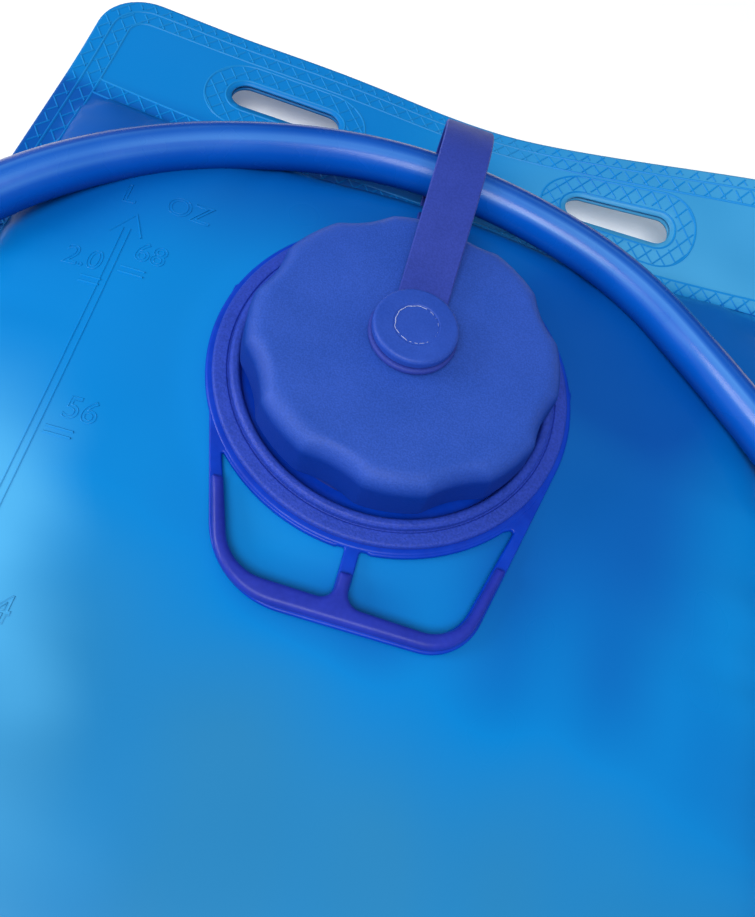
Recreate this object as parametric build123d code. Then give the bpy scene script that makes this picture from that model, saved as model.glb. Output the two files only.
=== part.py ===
from build123d import *
import math
import os

# Two-litre hydration bladder lying full on its back. Millimetres, +Z up, +Y towards the header,
# origin on the resting surface under the middle of the bag.

# ---- bag ----
BAG_W, BAG_L = 190.0, 330.0
BAG_CORNER = 12.0
FILM = 0.8
SEAM_Z = 9.0                     # height of the plane where the two films are welded
SEAM_TOP = SEAM_Z + FILM
EDGE_WELD = 7.0
HEADER_WELD_Y = 126.5            # upper end of the water chamber
CHAMBER_END_Y = -158.0           # lower end of the water chamber
CHAMBER_HALF = BAG_W / 2 - EDGE_WELD
PLATEAU_Z = 17.0                 # film height round the neck and round the outlet
CROWN_Z = 20.5                   # film height in the middle
FRONT_SHOULDERS = (0.55, 0.92)   # where the arch of each film levels off, over its half width
BACK_SHOULDERS = (0.82, 0.98)
BACK_FLAT = 0.35                 # how far the lower film's arch is cut flat by the surface it rests on

# ---- header slots ----
SLOT_SPACING = 88.4
SLOT_Y = 146.0
SLOT_LENGTH, SLOT_WIDTH = 27.7, 7.7

# ---- neck, collar and handle ----
NECK_Y = 76.0
FLANGE_R, FLANGE_Z0, FLANGE_Z1 = 36.8, 15.2, 17.6
NECK_R_OUT, NECK_R_IN, NECK_TOP = 25.0, 21.5, 30.4
HANDLE_RING_R, HANDLE_RING_Z1 = 37.4, 19.1
COLLAR_R_OUT, COLLAR_R_IN, COLLAR_Z1 = 35.3, 25.3, 20.2
BEAD_R, BEAD_SECTION_R = 31.9, 1.1
STRAP_T = 1.3                    # thickness of the handle's flat straps
HINGE_Y = NECK_Y - 35.0          # line about which the handle bends up
HINGE_GAP = 0.3
GRIP_GAP = 1.0                   # room for the grip's thick end to turn over the straps
GRIP_Z0, GRIP_T = 18.1, 3.6
GRIP_DROP = 51.8                 # reach of the handle from the neck's centre
GRIP_BAR = 3.6

# ---- cap and tether ----
CAP_R, CAP_Z0, CAP_Z1 = 31.2, 23.2, 33.4
CAP_SKIRT_R_IN, CAP_TOP_T = 26.8, 1.8
FLUTES, FLUTE_DEPTH, FLUTE_R = 8, 1.4, 13.0
FLUTE_PHASE = 31.5
CAP_ROUND = 2.6
POST_R, POST_CLEARANCE, POST_DEPTH = 3.0, 0.06, 1.2
RIVET_R, RIVET_Z0, RIVET_Z1 = 8.0, 35.6, 37.6
TETHER_T, TETHER_W = 1.4, 10.0
TETHER_BENDS = [5.0, 5.0, 7.0, 9.0, 12.0, 20.0, 12.0]
TETHER_RING_R_IN, TETHER_RING_R_OUT = 25.5, 29.6
EYELET_R, EYELET_Z0 = 8.4, 33.8

# ---- outlet port and connector ----
PORT_Y = -112.0
PORT_FLANGE_R, PORT_Z0, PORT_Z1 = 17.0, 14.8, 18.2
SOCKET_R_OUT, SOCKET_R_IN, SOCKET_TOP = 10.5, 7.3, 25.4
STEM_R, STEM_BORE_R = 7.1, 3.0
ELBOW_R, ELBOW_Z0, ELBOW_Z1 = 10.2, 25.4, 38.6
OUTLET_Z = 32.0
BUTTON_R, BUTTON_STROKE = 4.2, 2.0

# ---- tube and bite valve ----
TUBE_R = 5.0
BARB_R, BARB_BORE_R, BARB_LENGTH = 3.4, 2.2, 14.0
TUBE_START_X = 14.0
VALVE_X, VALVE_Y, VALVE_Z = 64.0, -196.0, 11.4
VALVE_R, VALVE_LENGTH = 8.5, 30.0
LEVER_REACH = 14.0
MOUTH_LENGTH = 27.0
COVER_R = 11.2

# The tube's route: out of the connector, round the right edge of the bag, over its shoulder, through
# the tether loop, down the left side and round the foot to the bite valve.
ROUTE = [
    (TUBE_START_X, PORT_Y, OUTLET_Z), (44, -112, 31.4), (76, -104, 27), (103, -82, 17),
    (115, -50, 7.4), (118, -8, 5.4), (115, 36, 7.4), (106, 66, 14),
    (88, 85.5, 18.8), (67.5, 102, 20.9), (46, 120.5, 20.0), (21, 130.6, 18.6),
    (-8, 134, 18.4), (-37, 128.2, 18.6), (-67, 112.2, 19.4), (-90, 89, 18.8),
    (-108, 60, 12), (-118, 16, 5.4), (-120, -46, 5.3), (-118, -104, 5.3),
    (-106, -156, 5.3), (-76, -190, 5.3), (-30, -199, 5.6), (18, -199.5, 8.6),
    (VALVE_X, VALVE_Y, VALVE_Z),
]


def tube_radii(points):
    """Arc radius at each corner: 0.45 of the shorter run over the tangent of half the turn."""
    spots = [Vector(*p) for p in points]
    radii = []
    for before, here, after in zip(spots, spots[1:], spots[2:]):
        run_in, run_out = here - before, after - here
        half_turn = math.radians(run_in.get_angle(run_out)) / 2
        radii.append(0.45 * min(run_in.length, run_out.length) / math.tan(half_turn))
    return radii


def cylinder(radius, z0, z1, x=0.0, y=0.0):
    """Upright cylinder between two heights."""
    return Pos(x, y, (z0 + z1) / 2) * Cylinder(radius, z1 - z0)


def lying_cylinder(radius, x0, x1, y, z):
    """Cylinder along X between two x values."""
    return Pos((x0 + x1) / 2, y, z) * Rot(0, 90, 0) * Cylinder(radius, x1 - x0)


def lens_section(y, half_width, z_edge, z_mid, shoulders):
    """Closed section of the pillow in the XZ plane: a flat base line and a flattened arch."""
    arch_share = 15 / 16                     # how far a quintic arch rises towards its shoulders
    z_shoulder = z_edge + (z_mid - z_edge) / arch_share
    near, far = shoulders
    reach = [(-1.0, z_edge), (-far, z_shoulder), (-near, z_shoulder)]
    reach += [(-share, z) for share, z in reversed(reach)]
    spots = [(share * half_width, y, z) for share, z in reach]
    return Wire([Bezier(*spots), Line(spots[-1], spots[0])])


def pillow(z_edge, stations, shoulders, inset):
    """Solid dome (or bowl) of the chamber, from (y, half width, height) stations."""
    sections = [lens_section(y, half - inset, z_edge, z, shoulders) for y, half, z in stations]
    return Solid.make_loft(sections, ruled=True)


def front_stations(drop, pull):
    """Stations of the upper film, lowered by drop and shortened at both ends by pull."""
    half = CHAMBER_HALF
    return [
        (HEADER_WELD_Y - pull, half - 12, SEAM_TOP + 0.6 - 0.5 * drop),
        (118, half - 2, 14.4 - drop), (104, half, 16.8 - drop),
        (NECK_Y, half, PLATEAU_Z - drop), (40, half, PLATEAU_Z - drop),
        (14, half, PLATEAU_Z + 0.2 - drop), (-12, half, CROWN_Z - 0.8 - drop),
        (-38, half, CROWN_Z - drop), (-62, half, CROWN_Z - 0.8 - drop),
        (-90, half, PLATEAU_Z + 0.2 - drop), (-112, half, PLATEAU_Z - drop),
        (-134, half, PLATEAU_Z - 0.2 - drop), (-150, half - 2, 14.0 - drop),
        (CHAMBER_END_Y + pull, half - 12, SEAM_TOP + 0.6 - 0.5 * drop),
    ]


def back_stations(lift, pull):
    """Stations of the lower film, which rests flat on the surface."""
    half = CHAMBER_HALF
    return [
        (HEADER_WELD_Y - pull, half - 12, SEAM_Z - 0.6 + 0.5 * lift),
        (120, half - 4, 4.6 + lift), (112, half - 1, 1.9 + lift), (102, half, 0.5 + lift),
        (88, half, 0.05 + lift), (60, half, lift), (20, half, lift), (-20, half, lift),
        (-60, half, lift), (-100, half, lift), (-120, half, 0.05 + lift), (-134, half, 0.5 + lift),
        (-144, half - 1, 1.9 + lift), (-152, half - 4, 4.6 + lift),
        (CHAMBER_END_Y + pull, half - 12, SEAM_Z - 0.6 + 0.5 * lift),
    ]


def front_outside():
    return pillow(SEAM_Z, front_stations(0.0, 0.0), FRONT_SHOULDERS, 0.0)


def back_outside():
    return pillow(SEAM_Z, back_stations(-BACK_FLAT, 0.0), BACK_SHOULDERS, 0.0)


def weld_margin():
    """Both films fused into one sheet round the chamber, with the header and its two slots."""
    margin = Pos(0, 0, SEAM_Z - FILM) * extrude(RectangleRounded(BAG_W, BAG_L, BAG_CORNER), 2 * FILM)
    slots = Sketch() + [
        Pos(side * SLOT_SPACING / 2, SLOT_Y) * SlotOverall(SLOT_LENGTH, SLOT_WIDTH) for side in (-1, 1)
    ]
    margin -= Pos(0, 0, SEAM_Z - FILM - 1) * extrude(slots, 2 * FILM + 2)
    return margin - front_outside() - back_outside()


def front_film():
    """Upper wall of the water chamber, with holes for the neck's and the port's flanges."""
    film = front_outside() - pillow(SEAM_Z - 0.01, front_stations(FILM, 1.6), FRONT_SHOULDERS, 1.6)
    film -= cylinder(FLANGE_R, SEAM_TOP, CAP_Z1, 0, NECK_Y)
    return film - cylinder(PORT_FLANGE_R, SEAM_TOP, CAP_Z1, 0, PORT_Y)


def back_film():
    """Lower wall of the water chamber, flat where it rests."""
    film = back_outside() - pillow(SEAM_Z + 0.01, back_stations(FILM, 1.6), BACK_SHOULDERS, 1.6)
    return film - Pos(0, 0, -BACK_FLAT) * Box(2 * BAG_W, 2 * BAG_L, 2 * BACK_FLAT)


def neck_spout():
    """Weld flange with the threaded neck; the two-start thread is left as a plain wall."""
    spout = cylinder(FLANGE_R, FLANGE_Z0, FLANGE_Z1, 0, NECK_Y)
    spout += cylinder(NECK_R_OUT, FLANGE_Z1, NECK_TOP, 0, NECK_Y)
    return spout - cylinder(NECK_R_IN, FLANGE_Z0 - 1, NECK_TOP + 1, 0, NECK_Y)


def handle_outline():
    """Outside of the handle seen from above: straps leave the ring and run in to the bar.

    The bar hangs a little to +X of the neck's centre, as its soft straps let it.
    """
    rows = [(0.0, 37.0, 7.0), (1.1, 28.7, 32.5), (2.3, 24.1, 44.0), (3.4, 14.0, GRIP_DROP)]
    left = [(shift - half, NECK_Y - drop) for shift, half, drop in rows]
    right = [(shift + half, NECK_Y - drop) for shift, half, drop in reversed(rows)]
    return Polyline(*left, *right, close=True)


def handle_band():
    """Closed band of the handle's bar and straps, with the middle rib."""
    outside = make_face(handle_outline())
    band = outside - offset(outside, -GRIP_BAR)
    return band + Pos(0.8, NECK_Y - 42.0) * Rectangle(3.4, 14.0)


def handle_ring():
    ring = cylinder(HANDLE_RING_R, FLANGE_Z1, HANDLE_RING_Z1, 0, NECK_Y)
    straps = Pos(0, 0, HANDLE_RING_Z1 - STRAP_T) * extrude(handle_band(), STRAP_T)
    keep = Pos(0, HINGE_Y + HINGE_GAP + 20, HANDLE_RING_Z1) * Box(120, 40, 10)
    return ring + (straps & keep) - cylinder(NECK_R_OUT, FLANGE_Z0, CAP_Z1, 0, NECK_Y)


def handle_grip():
    bar = Pos(0, 0, GRIP_Z0) * extrude(handle_band(), GRIP_T)
    keep = Pos(0, HINGE_Y - GRIP_GAP - 20, GRIP_Z0) * Box(120, 40, 20)
    clear = cylinder(HANDLE_RING_R + 0.4, GRIP_Z0 - 1, GRIP_Z0 + GRIP_T + 1, 0, NECK_Y)
    return (bar & keep) - clear


def neck_collar():
    """Flat ring round the neck with a raised bead and a fine groove outside it."""
    ring = cylinder(COLLAR_R_OUT, HANDLE_RING_Z1, COLLAR_Z1, 0, NECK_Y)
    ring += Pos(0, NECK_Y, COLLAR_Z1) * Torus(BEAD_R, BEAD_SECTION_R)
    ring -= cylinder(COLLAR_R_IN, FLANGE_Z0, CAP_Z1, 0, NECK_Y)
    ring -= cylinder(COLLAR_R_OUT + 5, FLANGE_Z0, HANDLE_RING_Z1, 0, NECK_Y)
    groove = cylinder(BEAD_R + 1.9, COLLAR_Z1 - 0.4, COLLAR_Z1 + 1, 0, NECK_Y)
    groove -= cylinder(BEAD_R + 1.3, COLLAR_Z1 - 0.4, COLLAR_Z1 + 1, 0, NECK_Y)
    return ring - groove


def cap_body():
    outline = Circle(CAP_R)
    for flute in range(FLUTES):
        angle = math.radians(FLUTE_PHASE + flute * 360 / FLUTES)
        reach = CAP_R - FLUTE_DEPTH + FLUTE_R
        outline -= Pos(reach * math.cos(angle), reach * math.sin(angle)) * Circle(FLUTE_R)
    body = Pos(0, NECK_Y, CAP_Z0) * extrude(outline, CAP_Z1 - CAP_Z0)
    blank = cylinder(CAP_R + 0.1, CAP_Z0 - 1, CAP_Z1, 0, NECK_Y)
    body = body & fillet(blank.edges().group_by(Axis.Z)[-1], CAP_ROUND)
    body -= cylinder(CAP_SKIRT_R_IN, CAP_Z0 - 1, CAP_Z1 - CAP_TOP_T, 0, NECK_Y)
    hole_r = POST_R + POST_CLEARANCE
    return body - cylinder(hole_r, CAP_Z1 - POST_DEPTH - 0.3, CAP_Z1 + 1, 0, NECK_Y)


def cap_gasket():
    ring = cylinder(NECK_R_OUT + 0.4, NECK_TOP + 0.3, CAP_Z1 - CAP_TOP_T, 0, NECK_Y)
    return ring - cylinder(NECK_R_IN - 0.6, NECK_TOP, CAP_Z1, 0, NECK_Y)


def tether_rivet():
    disc = cylinder(RIVET_R, RIVET_Z0, RIVET_Z1, 0, NECK_Y)
    disc = fillet(disc.edges().group_by(Axis.Z)[-1], 0.7)
    return disc + cylinder(POST_R, CAP_Z1 - POST_DEPTH, RIVET_Z0, 0, NECK_Y)


def tether():
    """Ring round the neck, strap looped over the header, and eyelet under the rivet."""
    z_ring = COLLAR_Z1 + 1.7
    z_eye = EYELET_Z0 + TETHER_T / 2
    route = FilletPolyline(
        (27.6, z_ring), (37.5, z_ring), (50.5, 12.4), (63, 11.8), (67.4, 24), (57, 36),
        (41, 40.2), (20, 36.8), (EYELET_R - 3, z_eye), radius=TETHER_BENDS,
    )
    strap = Plane.YZ * trace(route, TETHER_T)
    strap = extrude(strap, TETHER_W / 2, both=True)
    eyelet = cylinder(EYELET_R, EYELET_Z0, EYELET_Z0 + TETHER_T)
    eyelet -= cylinder(POST_R + 0.4, EYELET_Z0 - 1, EYELET_Z0 + 3)
    ring = cylinder(TETHER_RING_R_OUT, COLLAR_Z1, COLLAR_Z1 + TETHER_T + 0.9)
    ring -= cylinder(TETHER_RING_R_IN, COLLAR_Z1 - 1, COLLAR_Z1 + 4)
    return Pos(0, NECK_Y, 0) * (strap + eyelet + ring)


def outlet_port():
    port = cylinder(PORT_FLANGE_R, PORT_Z0, PORT_Z1, 0, PORT_Y)
    port += cylinder(SOCKET_R_OUT, PORT_Z1, SOCKET_TOP, 0, PORT_Y)
    return port - cylinder(SOCKET_R_IN, PORT_Z0 - 1, SOCKET_TOP + 1, 0, PORT_Y)


def connector_body():
    """Elbow that plugs into the port, with a barb for the tube and a pocket for the button."""
    body = cylinder(ELBOW_R, ELBOW_Z0, ELBOW_Z1, 0, PORT_Y)
    body = fillet(body.edges().group_by(Axis.Z)[-1], 2.5)
    body += cylinder(STEM_R, PORT_Z0 + 0.4, ELBOW_Z0, 0, PORT_Y)
    body += lying_cylinder(6.2, 0, TUBE_START_X, PORT_Y, OUTLET_Z)
    body += lying_cylinder(BARB_R, TUBE_START_X, TUBE_START_X + BARB_LENGTH, PORT_Y, OUTLET_Z)
    body -= lying_cylinder(BARB_BORE_R, -1, TUBE_START_X + BARB_LENGTH + 1, PORT_Y, OUTLET_Z)
    body -= cylinder(STEM_BORE_R, PORT_Z0 - 1, OUTLET_Z, 0, PORT_Y)
    body -= lying_cylinder(BUTTON_R + 0.4, -ELBOW_R - 1, -3.8, PORT_Y, OUTLET_Z)
    groove = cylinder(STEM_R + 1, 19.0, 21.2, 0, PORT_Y) - cylinder(STEM_R - 1.1, 19.0, 21.2, 0, PORT_Y)
    return body - groove


def port_oring():
    return Pos(0, PORT_Y, 20.1) * Torus(STEM_R - 0.35, 0.75)


def release_button():
    inner_x = -ELBOW_R + 0.6
    face = lying_cylinder(BUTTON_R, -ELBOW_R - BUTTON_STROKE - 0.6, inner_x, PORT_Y, OUTLET_Z)
    return fillet(face.edges().group_by(Axis.X)[0], 0.6)


def release_spring():
    """Coil spring between the button and the floor of its pocket."""
    x0, x1 = -ELBOW_R + 0.6 + 0.35, -3.8
    wire_r = 0.4
    pitch = (x1 - x0 - 2 * wire_r) / 2.5
    coil = Helix(pitch, x1 - x0 - 2 * wire_r, 2.6)
    start = Plane(origin=coil @ 0, z_dir=coil % 0)
    spring = sweep(start * Circle(wire_r), coil, is_frenet=True)
    return Pos(x0 + wire_r, PORT_Y, OUTLET_Z) * Rot(0, 90, 0) * spring


def drinking_tube():
    radii = tube_radii(ROUTE)
    print("tube radii", [round(r) for r in radii])
    path = FilletPolyline(*ROUTE, radius=radii)
    start = Plane(origin=path @ 0, z_dir=path % 0)
    tube = sweep(start * Circle(TUBE_R), path)
    print("tube length", round(path.length, 1))
    print("volume over section times length", round(tube.volume / (math.pi * TUBE_R**2 * path.length), 4))
    return tube


def valve_body():
    """Barrel with a barb for the tube, a cross bore for the shutoff and a nozzle for the mouthpiece."""
    x0, x1 = VALVE_X, VALVE_X + VALVE_LENGTH
    body = lying_cylinder(VALVE_R, x0, x1, VALVE_Y, VALVE_Z)
    body = fillet(body.edges().group_by(Axis.X)[0] + body.edges().group_by(Axis.X)[-1], 1.5)
    body += lying_cylinder(BARB_R, x0 - BARB_LENGTH, x0, VALVE_Y, VALVE_Z)
    body += lying_cylinder(4.6, x1, x1 + 9, VALVE_Y, VALVE_Z)
    body -= lying_cylinder(BARB_BORE_R, x0 - BARB_LENGTH - 1, x1 + 10, VALVE_Y, VALVE_Z)
    return body - cylinder(5.2, 5.0, 30, x0 + VALVE_LENGTH / 2, VALVE_Y)


def shutoff_lever():
    """Rotary plug with its thumb lever on top; the plug's cross hole opens the water path."""
    x = VALVE_X + VALVE_LENGTH / 2
    top = VALVE_Z + VALVE_R + 0.4
    plug = cylinder(5.12, 5.4, top, x, VALVE_Y)
    plug -= lying_cylinder(BARB_BORE_R, x - 10, x + 10, VALVE_Y, VALVE_Z)
    disc = cylinder(7.0, top, top + 2.4, x, VALVE_Y)
    blade = Pos(x + LEVER_REACH / 2, VALVE_Y, top + 1.2) * Box(LEVER_REACH, 6.0, 2.4)
    tip = cylinder(3.0, top, top + 2.4, x + LEVER_REACH, VALVE_Y)
    return plug + disc + blade + tip


def mouthpiece():
    """Soft bite valve pushed over the nozzle, closed by a slit at its lip."""
    x0 = VALVE_X + VALVE_LENGTH + 0.4
    root = lying_cylinder(7.6, x0, x0 + 9, VALVE_Y, VALVE_Z)
    neck = Pos(x0 + 9, VALVE_Y, VALVE_Z) * Rot(0, 90, 0)
    lip = loft([
        neck * Circle(6.4),
        neck * Pos(0, 0, 9) * Ellipse(4.6, 8.6),
        neck * Pos(0, 0, MOUTH_LENGTH - 9) * Ellipse(3.4, 9.4),
    ])
    soft = root + lip
    soft -= lying_cylinder(4.6, x0 - 1, x0 + 9.1, VALVE_Y, VALVE_Z)
    return soft - lying_cylinder(2.6, x0 - 1, x0 + 22, VALVE_Y, VALVE_Z)


def dust_cover():
    """Clear hood over the mouthpiece, pulled off along the tube's end."""
    x0 = VALVE_X + VALVE_LENGTH + 4.4
    x1 = VALVE_X + VALVE_LENGTH + MOUTH_LENGTH + 2.6
    hood = lying_cylinder(COVER_R, x0, x1, VALVE_Y, VALVE_Z)
    hood = fillet(hood.edges().group_by(Axis.X)[-1], 4.0)
    return hood - lying_cylinder(COVER_R - 1.2, x0 - 1, x1 - 1.4, VALVE_Y, VALVE_Z)


PARTS = {
    "weld_margin": weld_margin,
    "front_film": front_film,
    "back_film": back_film,
    "neck_spout": neck_spout,
    "handle_ring": handle_ring,
    "handle_grip": handle_grip,
    "neck_collar": neck_collar,
    "cap": cap_body,
    "cap_gasket": cap_gasket,
    "tether": tether,
    "tether_rivet": tether_rivet,
    "outlet_port": outlet_port,
    "port_oring": port_oring,
    "connector_body": connector_body,
    "release_button": release_button,
    "release_spring": release_spring,
    "drinking_tube": drinking_tube,
    "valve_body": valve_body,
    "shutoff_lever": shutoff_lever,
    "mouthpiece": mouthpiece,
    "dust_cover": dust_cover,
}

os.makedirs("parts", exist_ok=True)
for node, make in PARTS.items():
    export_step(make(), f"parts/{node}.step")
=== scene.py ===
"""Looks of a two-litre hydration bladder: film, welds, scale, cap, handle, tether, tube and bite valve.

Lengths are in millimetres until mesh_piece() turns them into metres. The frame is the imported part's: origin
on the resting surface under the middle of the bag, +Y to the header, +Z up.
"""

import math
import random

import bmesh
import bpy
from mathutils import Matrix, Vector, geometry, noise


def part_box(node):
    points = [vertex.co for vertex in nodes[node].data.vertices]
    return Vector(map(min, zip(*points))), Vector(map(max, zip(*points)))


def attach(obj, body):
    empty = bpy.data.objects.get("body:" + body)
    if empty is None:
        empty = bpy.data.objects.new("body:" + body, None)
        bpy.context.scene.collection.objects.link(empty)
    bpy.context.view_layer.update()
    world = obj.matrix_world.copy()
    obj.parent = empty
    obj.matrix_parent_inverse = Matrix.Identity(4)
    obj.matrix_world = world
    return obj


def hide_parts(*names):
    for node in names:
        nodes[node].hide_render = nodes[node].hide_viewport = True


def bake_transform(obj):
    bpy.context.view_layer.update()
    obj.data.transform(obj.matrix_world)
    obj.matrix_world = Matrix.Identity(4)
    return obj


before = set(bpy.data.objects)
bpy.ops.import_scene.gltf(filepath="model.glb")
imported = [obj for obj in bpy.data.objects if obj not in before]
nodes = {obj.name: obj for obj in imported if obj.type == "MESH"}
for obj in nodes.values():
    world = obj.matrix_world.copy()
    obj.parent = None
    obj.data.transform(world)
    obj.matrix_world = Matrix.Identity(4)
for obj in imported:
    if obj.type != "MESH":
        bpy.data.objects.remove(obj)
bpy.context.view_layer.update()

MM = 0.001
TURN = 2 * math.pi
MERGE_DISTANCE = 1e-6  # metres


def box_mm(node):
    """Corners of a CAD node, in millimetres."""
    low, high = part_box(node)
    return low / MM, high / MM


# ---- places read from the frame

film_low, film_high = box_mm("weld_margin")
BAG_W = film_high.x - film_low.x
BAG_HALF_L = (film_high.y - film_low.y) / 2
SEAM_Z = (film_low.z + film_high.z) / 2  # plane where the two films are welded
FILM_T = 0.8
ring_low, ring_high = box_mm("neck_collar")
NECK = Vector(((ring_low.x + ring_high.x) / 2, (ring_low.y + ring_high.y) / 2, 0))
COLLAR_R = (ring_high.x - ring_low.x) / 2
COLLAR_Z0 = ring_low.z
port_low, port_high = box_mm("outlet_port")
PORT = Vector(((port_low.x + port_high.x) / 2, (port_low.y + port_high.y) / 2, 0))
cap_low, cap_high = box_mm("cap")
rivet_low, rivet_high = box_mm("tether_rivet")

# ---- camera

FOCAL = 28.27
CAMERA_AT = Vector((-7.5, -0.7, 142.9))
CAMERA_AZIMUTH, CAMERA_ELEVATION, CAMERA_ROLL = (math.radians(a) for a in (-8.331, 64.703, 24.912))


def make_camera():
    """Camera over the neck, looking along the header and rolled to the right."""
    flat = math.cos(CAMERA_ELEVATION)
    back = Vector((
        math.sin(CAMERA_AZIMUTH) * flat,
        -math.cos(CAMERA_AZIMUTH) * flat,
        math.sin(CAMERA_ELEVATION),
    ))
    right = (-back).cross(Vector((0, 0, 1))).normalized()
    up = right.cross(-back)
    c, s = math.cos(CAMERA_ROLL), math.sin(CAMERA_ROLL)
    axes = (right * c + up * s, up * c - right * s, back)
    data = bpy.data.cameras.new("camera")
    data.sensor_width = 36
    data.lens = FOCAL
    data.clip_start, data.clip_end = 0.01, 20
    camera = bpy.data.objects.new("camera", data)
    bpy.context.scene.collection.objects.link(camera)
    turn = Matrix(axes).transposed().to_4x4()
    camera.matrix_world = Matrix.Translation(CAMERA_AT * MM) @ turn
    bpy.context.scene.camera = camera


make_camera()

# ---- mesh helpers


def link(obj):
    bpy.context.scene.collection.objects.link(obj)
    return obj


def mesh_piece(name, spots, faces, sharp_deg=None):
    """Smooth-shaded mesh object from points in millimetres."""
    data = bpy.data.meshes.new(name)
    data.from_pydata([Vector(p) * MM for p in spots], [], faces)
    data.validate()
    work = bmesh.new()
    work.from_mesh(data)
    bmesh.ops.recalc_face_normals(work, faces=work.faces)
    work.to_mesh(data)
    work.free()
    data.shade_smooth()
    if sharp_deg is not None:
        data.set_sharp_from_angle(angle=math.radians(sharp_deg))
    return link(bpy.data.objects.new(name, data))


def smooth_step(low, high, value):
    """0 below low, 1 above high, smooth between them."""
    t = min(1.0, max(0.0, (value - low) / (high - low)))
    return t * t * (3 - 2 * t)


def rounded_path(corners, closed=True, step=1.0):
    """Polyline through (x, y, radius) corners: each corner becomes an arc, each run is cut to short steps."""
    count = len(corners)
    path = []
    for i, (x, y, radius) in enumerate(corners):
        here = Vector((x, y))
        if radius <= 0 or (not closed and i in (0, count - 1)):
            path.append(here)
            continue
        before = Vector(corners[i - 1][:2])
        after = Vector(corners[(i + 1) % count][:2])
        to_before, to_after = (before - here).normalized(), (after - here).normalized()
        half = to_before.angle(to_after) / 2
        reach = min(radius / math.tan(half), 0.49 * (before - here).length, 0.49 * (after - here).length)
        radius = reach * math.tan(half)
        centre = here + (to_before + to_after).normalized() * (radius / math.sin(half))
        first, last = here + to_before * reach, here + to_after * reach
        start = math.atan2(first.y - centre.y, first.x - centre.x)
        sweep = math.atan2(last.y - centre.y, last.x - centre.x) - start
        sweep = (sweep + math.pi) % TURN - math.pi
        parts = max(3, math.ceil(abs(sweep) * max(radius, 1.0) / step), math.ceil(abs(sweep) / 0.2))
        for k in range(parts + 1):
            a = start + sweep * k / parts
            path.append(centre + Vector((math.cos(a), math.sin(a))) * radius)
    return divided(path, closed, step)


def divided(path, closed, step):
    """The same line with its long runs cut into steps."""
    cut = []
    runs = list(zip(path, path[1:] + path[:1] if closed else path[1:]))
    for a, b in runs:
        parts = max(1, math.ceil((b - a).length / step))
        cut += [a.lerp(b, k / parts) for k in range(parts)]
    if not closed:
        cut.append(path[-1])
    return cut


def skin(rows, width, first=0, loop=False, wrap=True):
    """Quads between rows of width points. loop joins the last row to the first, wrap a row's end to its start."""
    faces = []
    for i in range(rows if loop else rows - 1):
        here, ahead = first + i * width, first + (i + 1) % rows * width
        for k in range(width if wrap else width - 1):
            j = (k + 1) % width
            faces.append((here + k, here + j, ahead + j, ahead + k))
    return faces


def loop_edges(loops):
    """Points of closed loops in order, and the edges between them."""
    spots, edges = [], []
    for loop in loops:
        first = len(spots)
        spots += loop
        edges += [(first + k, first + (k + 1) % len(loop)) for k in range(len(loop))]
    return spots, edges


def lathe(name, profile, centre, turns=192, warp=None, sharp_deg=35):
    """Closed profile of (radius, z) turned about a vertical line. warp(angle, radius, z) may move each point."""
    spots = []
    for i in range(turns):
        a = TURN * i / turns
        for radius, z in profile:
            r, h = warp(a, radius, z) if warp else (radius, z)
            spots.append((centre.x + r * math.cos(a), centre.y + r * math.sin(a), h))
    piece = mesh_piece(name, spots, skin(turns, len(profile), loop=True), sharp_deg)
    merge_doubles(piece)
    return piece


def merge_doubles(piece):
    """Joins points that lie on each other, as on a lathe's own axis."""
    work = bmesh.new()
    work.from_mesh(piece.data)
    bmesh.ops.remove_doubles(work, verts=work.verts, dist=MERGE_DISTANCE)
    bmesh.ops.recalc_face_normals(work, faces=work.faces)
    work.to_mesh(piece.data)
    work.free()


def ring_profile(corners, step=0.35):
    """Closed (radius, z) outline with rounded corners for lathe()."""
    return [(p.x, p.y) for p in rounded_path(corners, True, step)]


def sweep_tube(name, path, radius, around, inner=0.0):
    """Round tube along a path in millimetres; inner above 0 makes it hollow."""
    frames = path_frames(path)
    spots, faces = [], []
    size = len(path) * around
    for n, layer in enumerate([radius, inner] if inner else [radius]):
        for spot, (side, up) in zip(path, frames):
            for k in range(around):
                a = TURN * k / around
                spots.append(spot + side * (layer * math.cos(a)) + up * (layer * math.sin(a)))
        faces += skin(len(path), around, n * size)
    if inner:
        for i in (0, len(path) - 1):
            for k in range(around):
                a, b = i * around + k, i * around + (k + 1) % around
                faces.append((a, b, b + size, a + size))
    else:
        faces += [tuple(range(around)), tuple(size - around + k for k in range(around))]
    return mesh_piece(name, spots, faces, 50)


def path_frames(path):
    """(side, up) at each point of a path, carried along without twist."""
    frames = []
    up = Vector((0, 0, 1))
    for i, spot in enumerate(path):
        ahead = (path[min(i + 1, len(path) - 1)] - path[max(i - 1, 0)]).normalized()
        if abs(ahead.dot(up)) > 0.999:
            up = Vector((1, 0, 0))
        side = ahead.cross(up).normalized()
        up = side.cross(ahead).normalized()
        frames.append((side, up))
    return frames


# ---- materials


def add_node(tree, kind, **inputs):
    """New shader node. Each input is a value to set or an output to link, its name's spaces as underscores."""
    node = tree.nodes.new("ShaderNode" + kind)
    for key, value in inputs.items():
        socket = node.inputs[key.replace("_", " ")]
        if isinstance(value, bpy.types.NodeSocket):
            tree.links.new(value, socket)
        else:
            socket.default_value = value
    return node


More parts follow.
